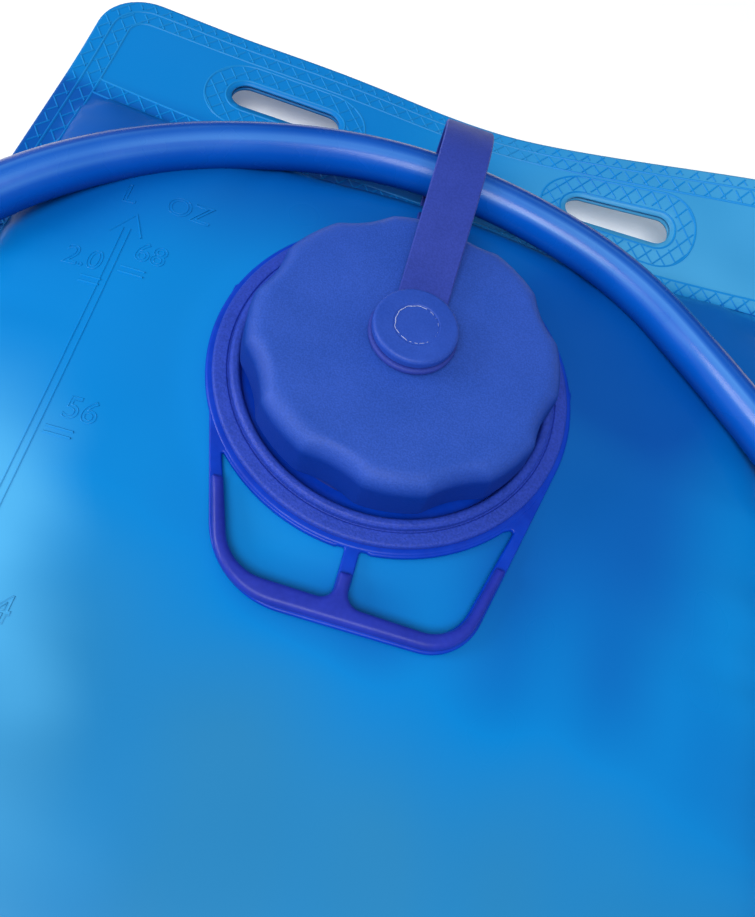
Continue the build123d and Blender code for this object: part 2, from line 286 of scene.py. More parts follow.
class Look:
    """Small builder for a procedural Principled material."""

    def __init__(self, name, **inputs):
        self.material = bpy.data.materials.new(name)
        self.material.use_nodes = True
        self.tree = self.material.node_tree
        self.shader = self.tree.nodes["Principled BSDF"]
        for key, value in inputs.items():
            self.shader.inputs[key.replace("_", " ")].default_value = value
        self.coords = self.tree.nodes.new("ShaderNodeTexCoord").outputs["Object"]

    def link(self, out, socket):
        self.tree.links.new(out, socket)

    def noise(self, scale, detail=3.0, roughness=0.55, stretch=None):
        """Noise in object space; scale is in features per metre."""
        source = self.coords
        if stretch:
            source = add_node(self.tree, "Mapping", Scale=stretch, Vector=source).outputs["Vector"]
        node = add_node(self.tree, "TexNoise", Scale=scale, Detail=detail, Roughness=roughness, Vector=source)
        return node.outputs["Fac"]

    def attribute(self, name):
        node = add_node(self.tree, "Attribute")
        node.attribute_name = name
        return node.outputs["Fac"]

    def ramp(self, factor, stops):
        """Colour ramp; stops are (position, colour)."""
        node = add_node(self.tree, "ValToRGB", Fac=factor)
        elements = node.color_ramp.elements
        while len(elements) < len(stops):
            elements.new(0.5)
        for element, (position, colour) in zip(elements, stops):
            element.position = position
            element.color = (*colour, 1)
        return node.outputs["Color"]

    def mix(self, factor, first, second):
        node = add_node(self.tree, "Mix")
        node.data_type = "RGBA"
        if isinstance(factor, float):
            node.inputs["Factor"].default_value = factor
        else:
            self.link(factor, node.inputs["Factor"])
        for out, socket in ((first, node.inputs[6]), (second, node.inputs[7])):
            if isinstance(out, tuple):
                socket.default_value = (*out, 1)
            else:
                self.link(out, socket)
        return node.outputs[2]

    def map_range(self, factor, low, high):
        """Spreads a noise's middle values over low to high."""
        node = add_node(self.tree, "MapRange", From_Min=0.3, From_Max=0.7, To_Min=low, To_Max=high, Value=factor)
        return node.outputs["Result"]

    def bump(self, layers):
        """Chains (height output, strength, distance in metres) bumps into the normal."""
        last = None
        for height, strength, distance in layers:
            node = add_node(self.tree, "Bump", Strength=strength, Distance=distance, Height=height)
            if last:
                self.link(last, node.inputs["Normal"])
            last = node.outputs["Normal"]
        self.link(last, self.shader.inputs["Normal"])

    def colour(self, out):
        self.link(out, self.shader.inputs["Base Color"])

    def rough(self, out):
        self.link(out, self.shader.inputs["Roughness"])


def paint(obj, material):
    """Gives a piece, or a CAD node, one material all over."""
    obj.data.materials.clear()
    obj.data.materials.append(material)


def film_look(name, deep, clear, haze):
    """Blue film: colour runs from deep blue, used as painted shade, to milky along the haze attribute; a second
    attribute lays on a painted pale reflection; with broad cloudiness and soft waves.
    """
    look = Look(name, Specular_IOR_Level=0.16, IOR=1.5)
    cloud = look.noise(16, 2.0)
    # The haze attribute's low end, deep, is painted shade beside the tube and the neck; its high end is milky film.
    base = look.ramp(look.attribute("haze"), [(0.0, deep), (0.5, clear), (1.0, haze)])
    toned = look.mix(0.08, base, look.ramp(cloud, [(0.3, deep), (0.7, haze)]))
    # Painted reflection: the pale colour mixed in here stands for window light on the film.
    look.colour(look.mix(look.attribute("painted_light"), toned, (0.085, 0.44, 0.80)))
    look.rough(look.map_range(look.noise(40, 1.0), 0.27, 0.35))
    look.bump([(look.noise(38, 1.0), 0.14, 0.0006)])
    return look.material


def moulded_look(name, dark, light, rough, grain, grain_size, wall=None):
    """Moulded polymer: slight mottling, fine spark-eroded grain, varied roughness.

    Upright walls take the darker colour wall, where one is given, as painted shade on the sides.
    """
    look = Look(name, Specular_IOR_Level=0.30)
    mottle = look.ramp(look.noise(90, 4.0), [(0.3, dark), (0.7, light)])
    speck = look.ramp(look.noise(grain_size * 0.8, 1.0), [(0.36, dark), (0.64, tuple(v * 1.3 for v in light))])
    colour = look.mix(0.55 * min(1.0, grain), mottle, speck)
    if wall:
        # Painted shade: upright walls turn to the darker wall colour.
        parts = add_node(look.tree, "SeparateXYZ", Vector=add_node(look.tree, "TexCoord").outputs["Normal"])
        painted_wall_shade = look.ramp(parts.outputs["Z"], [(0.15, (1, 1, 1)), (0.8, (0, 0, 0))])
        colour = look.mix(painted_wall_shade, colour, wall)
    look.colour(colour)
    look.rough(look.map_range(look.noise(200, 3.0), rough - 0.05, rough + 0.05))
    look.bump([
        (look.noise(grain_size, 2.0, 0.7), grain, 0.00012),
        (look.noise(grain_size / 9, 2.0), grain * 0.12, 0.0002),
    ])
    return look.material


def tube_look():
    """Blue translucent hose: bright where it is seen through its middle, dark at its edges, pale along its painted
    highlight bands.
    """
    look = Look("tube", Specular_IOR_Level=0.4, IOR=1.5, Coat_Weight=0.15, Coat_Roughness=0.15)
    weight = add_node(look.tree, "LayerWeight", Blend=0.42)
    middle = look.ramp(look.noise(30, 2.0), [(0.3, (0.0, 0.088, 0.50)), (0.7, (0.0, 0.115, 0.60))])
    body = look.mix(weight.outputs["Facing"], middle, (0.0, 0.014, 0.20))
    # Painted highlight: the band attribute mixes in a pale colour.
    look.colour(look.mix(look.attribute("band"), body, (0.12, 0.38, 0.84)))
    look.rough(look.map_range(look.noise(120, 2.0), 0.22, 0.32))
    look.bump([(look.noise(220, 2.0), 0.10, 0.0002)])
    return look.material


def metal_look():
    look = Look("spring_steel", Metallic=1.0)
    look.colour(look.ramp(look.noise(400, 2.0), [(0.3, (0.42, 0.43, 0.45)), (0.7, (0.62, 0.63, 0.65))]))
    look.rough(look.map_range(look.noise(900, 2.0), 0.22, 0.38))
    look.bump([(look.noise(3000, 2.0, stretch=(0.1, 1, 1)), 0.2, 0.00003)])
    return look.material


def clear_look():
    """Clear dust cover with a faint blue tint."""
    look = Look("clear_cover", Specular_IOR_Level=0.5, IOR=1.46, Transmission_Weight=0.9)
    look.colour(look.ramp(look.noise(80, 2.0), [(0.3, (0.72, 0.85, 0.95)), (0.7, (0.82, 0.92, 0.98))]))
    look.rough(look.map_range(look.noise(300, 3.0), 0.06, 0.16))
    look.bump([(look.noise(700, 2.0), 0.1, 0.0001)])
    return look.material


# Each film's first colour, deep blue, is used as painted shade beside the tube and the neck; the last is the milky
# film.
FRONT_FILM = film_look("film", (0.0, 0.080, 0.40), (0.0, 0.236, 0.65), (0.022, 0.236, 0.50))
BACK_FILM = film_look("film_back", (0.0, 0.07, 0.30), (0.0, 0.15, 0.42), (0.02, 0.20, 0.38))
CLEAR_BLUE = moulded_look("clear_blue", (0.0, 0.032, 0.42), (0.0, 0.052, 0.54), 0.34, 0.12, 900)
MATTE_BLUE = moulded_look("matte_blue", (0.014, 0.046, 0.36), (0.024, 0.062, 0.46), 0.44, 0.8, 2600)
GRIP_BLUE = moulded_look("grip_blue", (0.012, 0.026, 0.32), (0.020, 0.040, 0.43), 0.36, 0.2, 1400)
# The cap's last colour is painted shade on its upright walls.
CAP_BLUE = moulded_look("cap_blue", (0.014, 0.066, 0.38), (0.024, 0.084, 0.46), 0.50, 0.7, 3600, (0.0, 0.028, 0.28))
STRAP_BLUE = moulded_look("strap_blue", (0.018, 0.040, 0.29), (0.028, 0.055, 0.37), 0.54, 0.5, 3000)
RIVET_BLUE = moulded_look("rivet_blue", (0.014, 0.060, 0.38), (0.022, 0.078, 0.45), 0.44, 0.35, 3000)
# Pale colour of the rivet's painted rim highlight.
RIM_HIGHLIGHT = moulded_look("painted_rim_highlight", (0.22, 0.28, 0.58), (0.52, 0.58, 0.80), 0.6, 0.6, 3000)
SEAL = moulded_look("seal", (0.30, 0.34, 0.40), (0.42, 0.46, 0.52), 0.45, 0.3, 1200)
BITE = moulded_look("bite_silicone", (0.05, 0.16, 0.45), (0.09, 0.24, 0.58), 0.36, 0.3, 900)
TUBE = tube_look()
STEEL = metal_look()
CLEAR = clear_look()

# ---- drinking tube (the cord)

PORT_Y, OUTLET_Z, TUBE_START_X = -112, 32, 14
VALVE_AT = (64, -196, 11.4)
TUBE_R, TUBE_BORE_R = 5.0, 3.1

# Route of the drinking tube: the part's own, drawn 1 to 3 mm nearer to the neck over the header.
ROUTE = [
    (TUBE_START_X, PORT_Y, OUTLET_Z), (44, -112, 31.4), (76, -104, 27), (103, -82, 17),
    (115, -50, 7.4), (118, -8, 5.4), (115, 36, 7.4), (106, 66, 14),
    (87, 83.5, 18.8), (67.5, 99.4, 20.9), (46, 118.6, 20.0), (21, 129.2, 18.6),
    (-8, 132.6, 18.4), (-37, 126.6, 18.6), (-67, 110.8, 19.4), (-90, 88, 18.8),
    (-108, 60, 12), (-118, 16, 5.4), (-120, -46, 5.3), (-118, -104, 5.3),
    (-106, -156, 5.3), (-76, -190, 5.3), (-30, -199, 5.6), (18, -199.5, 8.6),
    VALVE_AT,
]


def nurbs_line(name, route):
    """Points read from a smooth NURBS spline over the route, in metres."""
    curve = bpy.data.curves.new(name, "CURVE")
    curve.dimensions = "3D"
    curve.resolution_u = 16
    spline = curve.splines.new("NURBS")
    spline.points.add(len(route) - 1)
    for point, spot in zip(spline.points, route):
        point.co = (*(Vector(spot) * MM), 1)
    spline.order_u = 3
    spline.use_endpoint_u = True
    holder = link(bpy.data.objects.new(name, curve))
    line = bpy.data.meshes.new_from_object(holder)
    spots = [v.co.copy() for v in line.vertices]
    bpy.data.objects.remove(holder)
    return spots


TUBE_LINE = nurbs_line("tube_line", ROUTE)
TUBE_SIDES = 64


def add_bands(piece, count):
    """Painted highlights: pale bands along the hose where a wide soft light would reflect; the inner wall has none.
    """
    values = []
    for i in range(count):
        flow = i * 0.09
        wide = 0.62 + 0.5 * noise.noise(Vector((flow * 0.45, 1.0, 0.0)))
        fine = 0.5 + 0.8 * noise.noise(Vector((flow * 0.3, 7.0, 0.0)))
        for k in range(TUBE_SIDES):
            a = 360.0 * k / TUBE_SIDES
            value = 0.85 * wide * math.exp(-((a - 122) / 11) ** 2) + fine * 0.6 * math.exp(-((a - 146) / 6) ** 2)
            value += 0.35 * fine * math.exp(-((a - 98) / 5) ** 2)
            value *= 0.85 + 0.6 * noise.noise(Vector((a / 7, flow * 0.12, 3.0)))
            values.append(max(0.0, min(0.9, value)))
    values += [0.0] * (len(piece.data.vertices) - len(values))
    piece.data.attributes.new("band", "FLOAT", "POINT").data.foreach_set("value", values)


drinking_tube = sweep_tube("hose", [p / MM for p in TUBE_LINE], TUBE_R, TUBE_SIDES, TUBE_BORE_R)
add_bands(drinking_tube, len(TUBE_LINE))
paint(drinking_tube, TUBE)
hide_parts("drinking_tube")
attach(drinking_tube, "root")

# ---- film shapes

CHAMBER_HALF = BAG_W / 2 - 7.0
CHAMBER_FOOT_Y = -158.0
WELD_Y = NECK.y + 50.0  # lower line of the header weld, in the middle
WELD_BAND = 4.6
WELD_RISE, WELD_RISE_X = 4.0, 78.0  # how much higher the weld is that far to the side
PLATEAU_Z, CROWN_Z = 17.2, 20.6
SLOT_X, SLOT_Y = 44.2, NECK.y + 70.0
SLOT_HALF, SLOT_R = 10.0, 3.85  # half distance of the end arcs' centres, and their radius
SLOT_RING_R = 10.4
CORNER_R, CHAMBER_CORNER_R = 12.0, 9.0
SHEET_T = 0.5  # film as it is drawn
ROW_SHARE = 0.866  # height of a mesh triangle over its side
FLANGE_SEAT_Z, PORT_SEAT_RISE = 17.55, 2.6  # film at the neck's flange, and over the port's underside
EDGE_LINE, EDGE_BAND = 3.5, 7.6


def weld_low(x):
    """y of the lower line of the header weld, which is the top of the water chamber."""
    return WELD_Y + WELD_RISE * (x / WELD_RISE_X) ** 2


def edge_distance(x, y):
    """Distance inside the bag's rounded outline."""
    qx = abs(x) - (BAG_W / 2 - CORNER_R)
    qy = abs(y) - (BAG_HALF_L - CORNER_R)
    outside = math.hypot(max(qx, 0.0), max(qy, 0.0))
    return CORNER_R - outside - min(max(qx, qy), 0.0)


def slot_distance(x, y):
    """Distance from the nearer slot's centre line."""
    return math.hypot(max(abs(abs(x) - SLOT_X) - SLOT_HALF, 0.0), y - SLOT_Y)


def chamber_depth(x, y):
    """Distance inside the water chamber's outline, with soft corners; negative outside."""
    side = CHAMBER_HALF - abs(x)
    top = weld_low(x) - y
    foot = y - CHAMBER_FOOT_Y
    end = min(top, foot)
    r = CHAMBER_CORNER_R
    if side < r and end < r:
        return r - math.hypot(r - side, r - end)
    return min(side, end)


def swell(depth, reach):
    """Rise of an inflated wall at a depth from its weld: steep, then level."""
    t = min(1.0, max(0.0, depth / reach))
    return math.sqrt(1 - (1 - t) ** 2.2)


def header_curl(x, y):
    """The header's upper edge curls up towards its right corner and dips by the middle."""
    along = smooth_step(WELD_Y + 2, BAG_HALF_L, y)
    rise = 13.5 * smooth_step(8, 104, x) ** 1.15 - 2.2 * math.exp(-((x - 2) / 26) ** 2)
    rise += 1.4 * smooth_step(-55, -95, x)
    return along * rise * (0.35 + 0.65 * along)


def puckers(x, y, depth):
    """Small folds that run in from the welds of a filled bag."""
    if depth <= 0:
        return 0.0
    fade = math.exp(-depth / 11.0) * min(1.0, depth / 3.0)
    along = y if CHAMBER_HALF - abs(x) < min(weld_low(x) - y, y - CHAMBER_FOOT_Y) else x
    side = 7.0 if x > 0 else -4.0
    wave = noise.noise(Vector((along / 11.0, side, 0.0))) + 0.5 * noise.noise(Vector((along / 5.0, side, 3.0)))
    return 1.5 * fade * wave


def undulation(x, y):
    """Broad soft waves of the filled film."""
    a = noise.noise(Vector((x / 62.0, y / 74.0, 5.0)))
    b = noise.noise(Vector((x / 27.0 + 9, y / 31.0, 1.0)))
    return 1.7 * a + 0.30 * b


def front_top(x, y):
    """Height of the upper film's outer face."""
    flat = SEAM_Z + FILM_T + header_curl(x, y)
    depth = chamber_depth(x, y)
    if depth <= 0:
        return flat
    from_neck = math.hypot(x - NECK.x, y - NECK.y)
    from_port = math.hypot(x - PORT.x, y - PORT.y)
    calm = smooth_step(37, 66, from_neck) * smooth_step(17, 44, from_port)
    middle = smooth_step(20, -36, y) * smooth_step(-96, -50, y) if y < -36 else smooth_step(24, -36, y)
    crown = PLATEAU_Z + (CROWN_Z - PLATEAU_Z) * middle * (1 - (x / CHAMBER_HALF) ** 2)
    across = swell(CHAMBER_HALF - abs(x), 46.0)
    ahead = swell(weld_low(x) - y, 26.0)
    foot = swell(y - CHAMBER_FOOT_Y, 34.0)
    rise = min(across * ahead * foot, 1.0)
    level = SEAM_Z + FILM_T + (crown - SEAM_Z - FILM_T) * rise
    level += calm * undulation(x, y) * min(1.0, depth / 24.0) + puckers(x, y, depth)
    seat = FLANGE_SEAT_Z - smooth_step(37.5, 44, from_neck) * 0.55
    level += (seat - level) * (1 - smooth_step(38.5, 62, from_neck))
    port_seat = port_low.z + PORT_SEAT_RISE
    level += (port_seat - level) * (1 - smooth_step(17.5, 34, from_port))
    return level


def back_bottom(x, y):
    """Height of the lower film's outer face, flat where it rests on the surface."""
    flat = SEAM_Z - FILM_T + header_curl(x, y)
    depth = chamber_depth(x, y)
    if depth <= 0:
        return flat
    sink = swell(depth, 17.0)
    level = (SEAM_Z - FILM_T) * (1 - sink) + puckers(x + 300, y, depth) * 0.5
    return max(0.0, level)


def outline_loop(inset, step):
    """The bag's outline, moved in by inset."""
    w, h, r = BAG_W / 2 - inset, BAG_HALF_L - inset, max(CORNER_R - inset, 2.5)
    return rounded_path([(w, h, r), (-w, h, r), (-w, -h, r), (w, -h, r)], True, step)


def oval_loop(centre_x, radius, step):
    """Oval round a slot."""
    loop = []
    count = math.ceil(math.pi * radius / step)
    for side in (1, -1):
        for k in range(count + 1):
            a = math.pi * k / count - math.pi / 2
            loop.append(Vector((
                centre_x + side * (SLOT_HALF + radius * math.cos(a)),
                SLOT_Y + side * radius * math.sin(a),
            )))
    return divided(loop, True, step)


def circle_loop(centre, radius, step):
    count = math.ceil(TURN * radius / step)
    return [
        Vector((centre.x + radius * math.cos(TURN * k / count), centre.y + radius * math.sin(TURN * k / count)))
        for k in range(count)
    ]


def chamber_loop(inset, step):
    """Outline of the water chamber, moved in."""
    half = CHAMBER_HALF - inset
    parts = 24
    top = [(half - 2 * half * k / parts) for k in range(parts + 1)]
    corners = [(x, weld_low(x) - inset, CHAMBER_CORNER_R if k in (0, parts) else 0.0) for k, x in enumerate(top)]
    corners += [(x, CHAMBER_FOOT_Y + inset, CHAMBER_CORNER_R) for x in (-half, half)]
    return rounded_path(corners, True, step)


def film_mesh(name, height, pitch, holes):
    """Flat triangulation of the bag's outline with its slots and round holes, lifted to height(x, y)."""
    loops = [outline_loop(0.0, 1.6)]
    loops += [oval_loop(side * SLOT_X, SLOT_R, 0.8) for side in (-1, 1)]
    loops += [circle_loop(centre, radius, 1.2) for centre, radius in holes]
    loops += [outline_loop(0.5, 1.6), chamber_loop(0.0, 1.6), chamber_loop(0.8, 1.6)]
    spots, edges = loop_edges(loops)
    rows = math.ceil(2 * BAG_HALF_L / (pitch * ROW_SHARE))
    for j in range(rows):
        y = -BAG_HALF_L + (j + 0.5) * pitch * ROW_SHARE
        count = math.ceil(BAG_W / pitch)
        for i in range(count):
            x = -BAG_W / 2 + (i + (0.25 if j % 2 else 0.75)) * pitch
            depth = chamber_depth(x, y)
            clear = edge_distance(x, y) > 1.3 and slot_distance(x, y) > SLOT_R + 0.9
            clear = clear and (depth < -0.9 or depth > 1.7)
            clear = clear and all(math.hypot(x - c.x, y - c.y) > r + 0.9 for c, r in holes)
            if clear:
                spots.append(Vector((x, y)))
    flat, _, faces, _, _, _ = geometry.delaunay_2d_cdt(spots, edges, [], 0, 1e-4)

    def kept(face):
        x = sum(flat[i].x for i in face) / len(face)
        y = sum(flat[i].y for i in face) / len(face)
        inside = edge_distance(x, y) > 0 and slot_distance(x, y) > SLOT_R - 0.02
        return inside and all(math.hypot(x - c.x, y - c.y) > r - 0.05 for c, r in holes)

    faces = [f for f in faces if kept(f)]
    film = mesh_piece(name, [(p.x, p.y, height(p.x, p.y)) for p in flat], faces)
    work = bmesh.new()
    work.from_mesh(film.data)
    bmesh.ops.delete(work, geom=[v for v in work.verts if not v.link_faces], context="VERTS")
    if sum(f.normal.z for f in work.faces) < 0:
        bmesh.ops.reverse_faces(work, faces=work.faces)
    work.to_mesh(film.data)
    work.free()
    return film


def haze_at(x, y):
    """Film tone from deep blue to milky, milkier towards the bottom; deep blue beside the tube, right of the cap,
    under the grip and at the top left is painted shade, and the header's paling to the right is painted light through
    the film.
    """
    header = smooth_step(WELD_Y - 3, WELD_Y + 4, y - WELD_RISE * (x / WELD_RISE_X) ** 2)
    # Painted light: the header grows paler to the right.
    header_tone_and_light = 0.40 + 0.60 * smooth_step(-30, 66, x)
    # Painted shade: the header is darker under the tube, left of the middle.
    header_tone_and_light -= 0.34 * smooth_step(WELD_Y + 12, WELD_Y + 2, y) * smooth_step(24, -8, x)
    below = smooth_step(-46, -80, y - NECK.y + 0.22 * (x - 10)) * smooth_step(112, 80, x - 0.25 * y)
    lower = 0.46 + 0.50 * below
    by_tube = smooth_step(WELD_Y - 40, WELD_Y - 6, y + 0.20 * abs(x + 32))
    by_cap = math.hypot(x - NECK.x - 42, (y - NECK.y + 8) * 0.62)
    by_grip = math.hypot((x - NECK.x + 2) * 0.5, y - NECK.y + 50)
    # Painted shade: beside the tube, right of the cap, under the grip, and at the top left corner.
    shade = 0.38 * by_tube + 0.36 * (1 - smooth_step(14, 40, by_cap)) + 0.18 * (1 - smooth_step(2, 12, by_grip))
    shade += 0.16 * smooth_step(-52, -80, x) * smooth_step(70, 90, y)
    body = lower - shade + 0.22 * noise.noise(Vector((x / 17.0, y / 30.0, 8.0))) * smooth_step(60, 30, y)
    return max(0.0, min(1.0, body + (header_tone_and_light - body) * header))


def glow_at(x, y):
    """Painted reflection of window light: soft pale light at the bag's left side, broken by the film's waves, and
    painted pale light in the header towards the right.
    """
    border = -38 - 0.42 * (y - 12) + 7 * noise.noise(Vector((x / 30.0, y / 12.0, 6.0)))
    side = smooth_step(border + 5, border - 15, x) * smooth_step(66, 36, y) * (0.3 + 0.7 * smooth_step(-26, 2, y))
    wave = 0.5 + 0.5 * math.sin((y + 0.4 * x) / 8.2 + 1.4) + 0.4 * noise.noise(Vector((x / 14.0, y / 11.0, 2.0)))
    header = smooth_step(WELD_Y + 2, WELD_Y + 9, y) * smooth_step(-14, 62, x) * (0.30 + 0.35 * wave)
    return max(0.0, min(0.95, side * (0.55 + 0.45 * wave) + header))


def add_haze(piece, more=0.0):
    """Writes the film's tone with its painted shade, and its painted pale light, on each point for the film
    materials; ribs are painted lighter on the left and darker to the right.
    """
    places = [(v.co.x / MM, v.co.y / MM) for v in piece.data.vertices]
    haze = piece.data.attributes.new("haze", "FLOAT", "POINT")
    rib_light_and_shade = [more * (1 - 2.6 * smooth_step(8, 34, x)) for x, _ in places]
    haze.data.foreach_set("value", [haze_at(x, y) + rib for (x, y), rib in zip(places, rib_light_and_shade)])
    painted_light = piece.data.attributes.new("painted_light", "FLOAT", "POINT")
    painted_light.data.foreach_set("value", [glow_at(x, y) * (1 - min(0.9, 4 * more)) for x, y in places])


def make_films():
    front = film_mesh("front_sheet", front_top, 2.4, [(NECK, 30.0), (PORT, 12.0)])
    back = film_mesh("back_sheet", back_bottom, 3.2, [])
    for sheet, material, offset in ((front, FRONT_FILM, -1), (back, BACK_FILM, 1)):
        add_haze(sheet)
        paint(sheet, material)
        solid = sheet.modifiers.new("thickness", "SOLIDIFY")
        solid.thickness = SHEET_T * MM
        solid.offset = offset
        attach(sheet, "root")
    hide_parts("front_film", "weld_margin")
    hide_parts("back_film")


# ---- welds and scale on the film

LATTICE_PITCH = 3.1
LATTICE_ANGLES = (52.0, 128.0)
RIDGE_HALF, RIDGE_H = 0.22, 0.2


def in_weld(x, y):
    """True where the plate's diamond pattern was pressed in."""
    edge = edge_distance(x, y)
    if 0.5 < edge < EDGE_LINE - 0.4 or EDGE_LINE + 0.4 < edge < EDGE_BAND:
        return True
    if weld_low(x) < y < weld_low(x) + WELD_BAND and edge > EDGE_BAND:
        return True
    return SLOT_R + 1.6 < slot_distance(x, y) < SLOT_RING_R


def ridge(lines, spots, faces, half=RIDGE_HALF, height=RIDGE_H, closed=False):
    """Adds a small rounded ridge on the upper film along each flat line."""
    for line in lines:
        count = len(line)
        if count < 2:
            continue
        first = len(spots)
        for i, p in enumerate(line):
            ahead = line[(i + 1) % count] if closed or i + 1 < count else p
            behind = line[i - 1] if closed or i else p
            side = Vector((behind.y - ahead.y, ahead.x - behind.x)).normalized()
            for across, up in ((-1.0, -0.05), (-0.55, 0.7), (0.0, 1.0), (0.55, 0.7), (1.0, -0.05)):
                q = p + side * (half * across)
                spots.append((q.x, q.y, front_top(q.x, q.y) + height * up))
        faces += skin(count, 5, first, loop=closed, wrap=False)


def lattice_lines():
    """Straight parallel lines in both directions, cut to the welded bands."""
    lines = []
    step = 0.9
    reach = 200
    for angle in LATTICE_ANGLES:
        a = math.radians(angle)
        along, across = Vector((math.cos(a), math.sin(a))), Vector((-math.sin(a), math.cos(a)))
        for n in range(-70, 71):
            run = []
            for k in range(int(2 * reach / step)):
                p = across * (n * LATTICE_PITCH) + along * (k * step - reach)
                if in_weld(p.x, p.y):
                    run.append(p)
                    continue
                if len(run) > 1:
                    lines.append(run)
                run = []
    return lines


def make_welds():
    spots, faces = [], []
    ridge(lattice_lines(), spots, faces)
    borders = [outline_loop(EDGE_LINE, 1.5), outline_loop(EDGE_BAND, 1.5)]
    borders += [oval_loop(side * SLOT_X, SLOT_RING_R, 1.0) for side in (-1, 1)]
    borders += [oval_loop(side * SLOT_X, SLOT_R + 1.4, 1.0) for side in (-1, 1)]
    ridge(borders, spots, faces, 0.28, 0.22, closed=True)
    half = BAG_W / 2 - EDGE_BAND
    band = [[Vector((x, weld_low(x) + up)) for x in steps(-half, half, 1.5)] for up in (0.0, WELD_BAND)]
    ridge(band, spots, faces, 0.3, 0.26)
    welds = mesh_piece("film_welds", spots, faces)
    add_haze(welds, 0.28)
    paint(welds, FRONT_FILM)
    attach(welds, "root")


def steps(low, high, size):
    count = max(1, round((high - low) / size))
    return [low + (high - low) * k / count for k in range(count + 1)]


# The scale's marks are (number, y from the neck's centre).
SCALE_TOP = Vector((-62.2, NECK.y + 19.5))
SCALE_FOOT_Y = -146.0
SCALE_GAP = 0.75
OUNCES = [(68, 6.2), (56, -31.0), (44, -68.2), (32, -105.4), (20, -142.6), (8, -179.8)]
LITRES = [("2.0", 1.8), ("1.5", -50.6), ("1.0", -103.0), ("0.5", -155.4)]
TEXT_SIZE = 6.6


def scale_x(y):
    """The scale's centre line leans a little."""
    return SCALE_TOP.x + 0.035 * (SCALE_TOP.y - y)


def raised_text(text, x, y, parts):
    """Outline lettering as thin round ridges, its lower left corner at (x, y)."""
    font = bpy.data.curves.new("text", "FONT")
    font.body = text
    font.size = TEXT_SIZE
    font.fill_mode = "NONE"
    font.bevel_depth = 0.13
    font.bevel_resolution = 1
    font.resolution_u = 4
    holder = link(bpy.data.objects.new("text", font))
    bpy.context.view_layer.update()
    flat = bpy.data.meshes.new_from_object(holder.evaluated_get(bpy.context.evaluated_depsgraph_get()))
    first = len(parts[0])
    for v in flat.vertices:
        px, py = x + v.co.x, y + v.co.y
        parts[0].append((px, py, front_top(px, py) + v.co.z))
    parts[1].extend(tuple(first + i for i in p.vertices) for p in flat.polygons)
    bpy.data.objects.remove(holder)


def make_scale():
    """Embossed volume scale: a double line with an arrow, ticks, and generic numbers."""
    spots, faces = [], []
    sides = (-SCALE_GAP, SCALE_GAP)
    stem = [[Vector((scale_x(y) + s, y)) for y in steps(SCALE_FOOT_Y, SCALE_TOP.y - 4, 2.0)] for s in sides]
    tip = SCALE_TOP + Vector((0.8, 0))
    barbs = [Vector((dx, -5.6)) for dx in (-3.8, 3.0)]
    stem += [[tip, tip.lerp(tip + barb, 0.5), tip + barb] for barb in barbs]
    ridge(stem, spots, faces, 0.22, 0.2)
    ticks = []
    for rel, x0, x1 in [(r, 2.0, 7.2) for _, r in OUNCES] + [(r, -4.6, -0.4) for _, r in LITRES]:
        y = NECK.y + rel
        for up in (0.0, -1.3):
            ticks.append([Vector((scale_x(y) + x, y + up)) for x in steps(x0, x1, 1.0)])
    ridge(ticks, spots, faces, 0.24, 0.3)
    parts = (spots, faces)
    for marks, across, up in ((OUNCES, 3.4, 2.4), (LITRES, -9.8, 2.0)):
        for number, rel in marks:
            raised_text(str(number), scale_x(NECK.y + rel) + across, NECK.y + rel + up, parts)
    raised_text("OZ", SCALE_TOP.x + 5.6, SCALE_TOP.y + 2.5, parts)
    raised_text("L", SCALE_TOP.x - 4.0, SCALE_TOP.y + 2.5, parts)
    scale = mesh_piece("film_scale", spots, faces)
    add_haze(scale, 0.05)
    paint(scale, FRONT_FILM)
    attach(scale, "root")


make_films()
make_welds()
make_scale()

# ---- neck, collar and handle

RING_R = COLLAR_R + 2.1
NECK_R_OUT, NECK_R_IN, NECK_TOP = 25.0, 21.5, 30.4


def make_neck():
    """Threaded neck with its weld flange, and the flat ring that carries the handle."""
    profile = ring_profile([
        (NECK_R_IN, 15.4, 0.4), (36.6, 15.4, 0.4), (36.6, 17.4, 0.3), (NECK_R_OUT, 17.4, 0.8),
        (NECK_R_OUT, NECK_TOP, 0.7), (NECK_R_IN, NECK_TOP, 0.5),
    ], 0.8)
    neck = lathe("neck", profile, NECK)
    paint(neck, CLEAR_BLUE)
    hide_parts("neck_spout")
    thread = helix_thread("neck_thread", NECK_R_OUT - 0.1, 21.0, 29.0, 2, 1.1)
    paint(thread, CLEAR_BLUE)
    ring = lathe("handle_base", ring_profile([
        (NECK_R_OUT + 0.05, 17.6, 0.2), (RING_R, 17.6, 0.5),
        (RING_R, COLLAR_Z0, 0.7), (NECK_R_OUT + 0.05, COLLAR_Z0, 0.2),
    ], 0.8), NECK)
    paint(ring, CLEAR_BLUE)
    for piece in (neck, thread, ring):
        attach(piece, "root")


def helix_thread(name, radius, z0, z1, starts, rise, pitch=5.6):
    """Trapezoid screw thread round the neck, each start fading in and out."""
    spots, faces = [], []
    turns = (z1 - z0) / pitch
    count = int(110 * turns)
    for start in range(starts):
        first = len(spots)
        for i in range(count + 1):
            t = i / count
            a = TURN * (turns * t + start / starts)
            height = rise * min(1.0, t * 9, (1 - t) * 9)
            z = z0 + (z1 - z0) * t
            for r, dz in ((-0.3, -1.1), (height, -0.45), (height, 0.45), (-0.3, 1.1)):
                reach = radius + r
                spots.append((NECK.x + reach * math.cos(a), NECK.y + reach * math.sin(a), z + dz))
        faces += skin(count + 1, 4, first)
        faces += [tuple(end + k for k in range(4)) for end in (first, first + count * 4)]
    return mesh_piece(name, spots, faces, 30)


